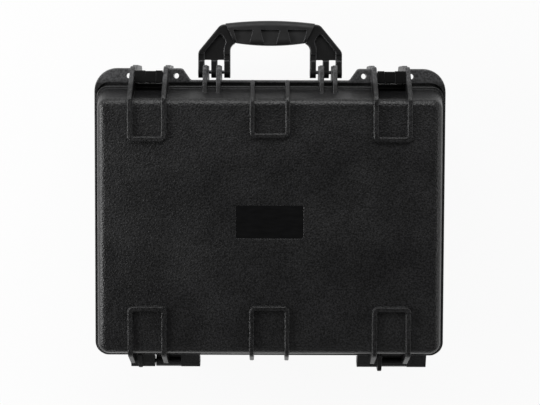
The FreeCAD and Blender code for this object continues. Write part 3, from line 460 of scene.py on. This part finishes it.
def cell_tree(material):
    """Grid of chamfered cells round an open pocket, from named sizes."""
    tree = bpy.data.node_groups.new("pluck_foam", "GeometryNodeTree")
    tree.interface.new_socket("Geometry", in_out="OUTPUT", socket_type="NodeSocketGeometry")
    for name in ("Columns", "Rows", "Seed"):
        tree.interface.new_socket(name, in_out="INPUT", socket_type="NodeSocketInt")
    for name in ("Pitch X", "Pitch Y", "Height", "Cut", "Chamfer", "Pocket X", "Pocket Y"):
        tree.interface.new_socket(name, in_out="INPUT", socket_type="NodeSocketFloat")
    size = tree.nodes.new("NodeGroupInput").outputs

    spans = [maths(tree, "MULTIPLY", maths(tree, "SUBTRACT", size[count], 1), size[pitch])
             for count, pitch in (("Columns", "Pitch X"), ("Rows", "Pitch Y"))]
    points = joined(tree, "GeometryNodeMeshGrid", Vertices_X=size["Columns"], Vertices_Y=size["Rows"],
                    Size_X=spans[0], Size_Y=spans[1])
    position = tree.nodes.new("GeometryNodeInputPosition")
    place = joined(tree, "ShaderNodeSeparateXYZ", Vector=position.outputs["Position"])
    inside = []
    for axis in ("X", "Y"):
        offset = joined(tree, "ShaderNodeMath", {"operation": "ABSOLUTE"}, i0=place.outputs[axis])
        inside.append(maths(tree, "LESS_THAN", offset.outputs["Value"], size["Pocket " + axis]))
    kept = joined(tree, "GeometryNodeDeleteGeometry", {"domain": "POINT"}, Geometry=points.outputs["Mesh"],
                  Selection=maths(tree, "MULTIPLY", *inside))

    side_height = maths(tree, "SUBTRACT", size["Height"], size["Chamfer"])
    cell_size = joined(tree, "ShaderNodeCombineXYZ", X=maths(tree, "SUBTRACT", size["Pitch X"], size["Cut"]),
                       Y=maths(tree, "SUBTRACT", size["Pitch Y"], size["Cut"]), Z=side_height)
    cube = joined(tree, "GeometryNodeMeshCube", Size=cell_size.outputs["Vector"])
    normal = tree.nodes.new("GeometryNodeInputNormal")
    facing = joined(tree, "ShaderNodeSeparateXYZ", Vector=normal.outputs["Normal"])
    raised = joined(tree, "GeometryNodeExtrudeMesh", Mesh=cube.outputs["Mesh"], Offset_Scale=size["Chamfer"],
                    Selection=maths(tree, "GREATER_THAN", facing.outputs["Z"], 0.5))
    top_share = maths(tree, "SUBTRACT", 1, maths(tree, "DIVIDE", size["Chamfer"],
                                                 maths(tree, "MULTIPLY", size["Pitch X"], 0.5)))
    tapered = joined(tree, "GeometryNodeScaleElements", Geometry=raised.outputs["Mesh"],
                     Selection=raised.outputs["Top"], Scale=top_share)
    half_up = joined(tree, "ShaderNodeCombineXYZ", Z=maths(tree, "MULTIPLY", side_height, 0.5))
    cell = joined(tree, "GeometryNodeTransform", Geometry=tapered.outputs["Geometry"],
                  Translation=half_up.outputs["Vector"])

    squeeze = joined(tree, "FunctionNodeRandomValue", {"data_type": "FLOAT_VECTOR"},
                     Min=(0.985, 0.985, 0.97), Max=(1.0, 1.0, 1.0), Seed=size["Seed"])
    copies = joined(tree, "GeometryNodeInstanceOnPoints", Points=kept.outputs["Geometry"],
                    Instance=cell.outputs["Geometry"], Scale=squeeze.outputs["Value"])
    real = joined(tree, "GeometryNodeRealizeInstances", Geometry=copies.outputs["Instances"])
    dressed = joined(tree, "GeometryNodeSetMaterial", Geometry=real.outputs["Geometry"], Material=material)
    joined(tree, "NodeGroupOutput", Geometry=dressed.outputs["Geometry"])
    return tree


def grown_mesh(name, tree, sizes):
    """Plain mesh that the node tree makes from these sizes."""
    seedling = bpy.data.objects.new(name, bpy.data.meshes.new(name))
    scene.collection.objects.link(seedling)
    modifier = seedling.modifiers.new("grow", "NODES")
    modifier.node_group = tree
    identifiers = {item.name: item.identifier for item in tree.interface.items_tree if item.in_out == "INPUT"}
    for size, value in sizes.items():
        modifier[identifiers[size]] = value
    evaluated = seedling.evaluated_get(bpy.context.evaluated_depsgraph_get())
    mesh = bpy.data.meshes.new_from_object(evaluated)
    bpy.data.objects.remove(seedling)
    mesh.name = name
    return mesh


print("cell tree ready")

# %% Grow the cells
cell_target = 15 * mm
cell_rings = 4
cell_cut = 0.5 * mm
cell_chamfer = 1.3 * mm
pocket_low = Vector((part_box("base_foam_left")[1].x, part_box("base_foam_back")[1].y, 0))
pocket_high = Vector((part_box("base_foam_right")[0].x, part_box("base_foam_front")[0].y, 0))
pocket = pocket_high - pocket_low
pocket_middle = (pocket_low + pocket_high) / 2
block_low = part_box("base_foam_left")[0].z
block_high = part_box("base_foam_left")[1].z
counts = [round(span / cell_target) for span in (pocket.x, pocket.y)]
pitches = [span / count for span, count in zip((pocket.x, pocket.y), counts)]

cells = grown_mesh("foam_cells", cell_tree(finishes["foam"]), {
    "Columns": counts[0] + 2 * cell_rings, "Rows": counts[1] + 2 * cell_rings, "Seed": 5,
    "Pitch X": pitches[0], "Pitch Y": pitches[1], "Height": block_high - block_low,
    "Cut": cell_cut, "Chamfer": cell_chamfer, "Pocket X": pocket.x / 2, "Pocket Y": pocket.y / 2})
cells.transform(Matrix.Translation((pocket_middle.x, pocket_middle.y, block_low)))
print("cells of", [round(pitch / mm, 1) for pitch in pitches], "mm,", len(cells.polygons), "faces")

# %% [markdown]
# ## Foam sheets
# Round the cells runs an uncut border, under them lie a floor sheet and a thin pad, and the lid carries a
# convoluted sheet whose bumps hold the equipment down. A cube with a bevel would do for the sheets, but
# their outline has the shell's round corners, so they are stacked from loops of a rounded rectangle.
# The convoluted sheet follows a rule, the product of two cosines, so its mesh is a grid pushed by it.

# %% Helpers for sheets
def rounded_loop(low, high, radius, inset, z, steps=8):
    """Points round a rectangle with round corners, inset all round."""
    turn = radius - inset
    middles = ((high.x - radius, high.y - radius), (low.x + radius, high.y - radius),
               (low.x + radius, low.y + radius), (high.x - radius, low.y + radius))
    points = []
    for quarter, (x, y) in enumerate(middles):
        for step in range(steps + 1):
            angle = math.radians(90) * (quarter + step / steps)
            points.append(Vector((x + turn * math.cos(angle), y + turn * math.sin(angle), z)))
    return points


def sheet_mesh(name, low, high, radius, hole=None):
    """Foam sheet with soft edges; hole gives the lowest and highest corner of a square opening."""
    soft = 2.0 * mm
    levels = [(soft, low.z), (0.3 * soft, low.z + 0.3 * soft), (0, low.z + soft),
              (0, high.z - soft), (0.3 * soft, high.z - 0.3 * soft), (soft, high.z)]
    loops = [rounded_loop(low, high, radius, inset, z) for inset, z in levels]
    if hole:
        for z in (high.z, low.z):
            loops.append([Vector((min(max(point.x, hole[0].x), hole[1].x),
                                  min(max(point.y, hole[0].y), hole[1].y), z)) for point in loops[0]])
        loops.append(loops[0])
    work = bmesh.new()
    rows = [[work.verts.new(point) for point in loop] for loop in loops]
    for lower, upper in zip(rows, rows[1:]):
        for index in range(len(lower)):
            after = (index + 1) % len(lower)
            work.faces.new((lower[index], lower[after], upper[after], upper[index]))
    if not hole:
        work.faces.new(list(reversed(rows[0])))
        work.faces.new(rows[-1])
    return closed_mesh(name, work)


def closed_mesh(name, work):
    """Mesh from a bmesh, with doubles merged and faces pointing out."""
    bmesh.ops.remove_doubles(work, verts=work.verts, dist=1e-6)
    bmesh.ops.dissolve_degenerate(work, edges=work.edges, dist=1e-7)
    bmesh.ops.recalc_face_normals(work, faces=work.faces)
    mesh = bpy.data.meshes.new(name)
    work.to_mesh(mesh)
    work.free()
    mesh.materials.append(finishes["foam"])
    return mesh


def bumpy_mesh(name, low, high, radius, period, depth):
    """Convoluted sheet: flat on top, round bumps below."""
    step = period / 12
    columns = round((high.x - low.x) / step)
    rows = round((high.y - low.y) / step)
    wave_x = 2 * math.pi * round((high.x - low.x) / period) / (high.x - low.x)
    wave_y = 2 * math.pi * round((high.y - low.y) / period) / (high.y - low.y)
    work = bmesh.new()
    grid = []
    for row in range(rows + 1):
        line = []
        for column in range(columns + 1):
            x = low.x + (high.x - low.x) * column / columns
            y = low.y + (high.y - low.y) * row / rows
            wave = math.cos(wave_x * (x - low.x)) * math.cos(wave_y * (y - low.y))
            corner_x = min(max(x, low.x + radius), high.x - radius)
            corner_y = min(max(y, low.y + radius), high.y - radius)
            reach = math.hypot(x - corner_x, y - corner_y)
            if reach > radius:
                x = corner_x + (x - corner_x) * radius / reach
                y = corner_y + (y - corner_y) * radius / reach
            line.append(work.verts.new((x, y, low.z + depth * (0.5 - 0.5 * wave))))
        grid.append(line)
    for lower, upper in zip(grid, grid[1:]):
        for column in range(columns):
            work.faces.new((lower[column], upper[column], upper[column + 1], lower[column + 1]))
    rim = (grid[0][:-1] + [line[-1] for line in grid[:-1]]
           + grid[-1][:0:-1] + [line[0] for line in grid[:0:-1]])
    top = [work.verts.new((vert.co.x, vert.co.y, high.z)) for vert in rim]
    for index in range(len(rim)):
        after = (index + 1) % len(rim)
        work.faces.new((rim[index], rim[after], top[after], top[index]))
    work.faces.new(top)
    for face in work.faces:
        face.smooth = len(face.verts) == 4
    return closed_mesh(name, work)


print("sheet helpers ready")

# %% Lay the foam
def lay_foam(name, mesh, body, stands_for):
    """Adds a foam piece that rides on a body in place of its plain blocks."""
    piece = bpy.data.objects.new(name, mesh)
    scene.collection.objects.link(piece)
    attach(piece, body)
    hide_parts(*stands_for)
    print(name, len(mesh.polygons), "faces for", list(stands_for))


foam_corner = 14 * mm
bump_period = 34 * mm
bump_depth = 14 * mm
border_low = Vector((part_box("base_foam_left")[0].x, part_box("base_foam_back")[0].y, block_low))
border_high = Vector((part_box("base_foam_right")[1].x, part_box("base_foam_front")[1].y, block_high))
cells_half = Vector([pitch * (count / 2 + cell_rings) for pitch, count in zip(pitches, counts)] + [0])
border = sheet_mesh("foam_border", border_low, border_high, foam_corner,
                    (pocket_middle - cells_half, pocket_middle + cells_half))

upper = bmesh.new()
upper.from_mesh(cells)
upper.from_mesh(border)
upper_mesh = bpy.data.meshes.new("base_pluck_foam")
upper.to_mesh(upper_mesh)
upper.free()
upper_mesh.materials.append(finishes["foam"])
sides = ("left", "right", "front", "back")
lay_foam("base_pluck_foam", upper_mesh, "base", ["base_foam_" + side for side in sides])
for layer in ("floor", "pad"):
    node = "base_foam_" + layer
    lay_foam("base_%s_foam" % layer, sheet_mesh(node, *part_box(node), foam_corner), "base", [node])
lid_sheet = bumpy_mesh("lid_bump_foam", *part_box("lid_foam"), foam_corner, bump_period, bump_depth)
lay_foam("lid_bump_foam", lid_sheet, "lid", ["lid_foam"])
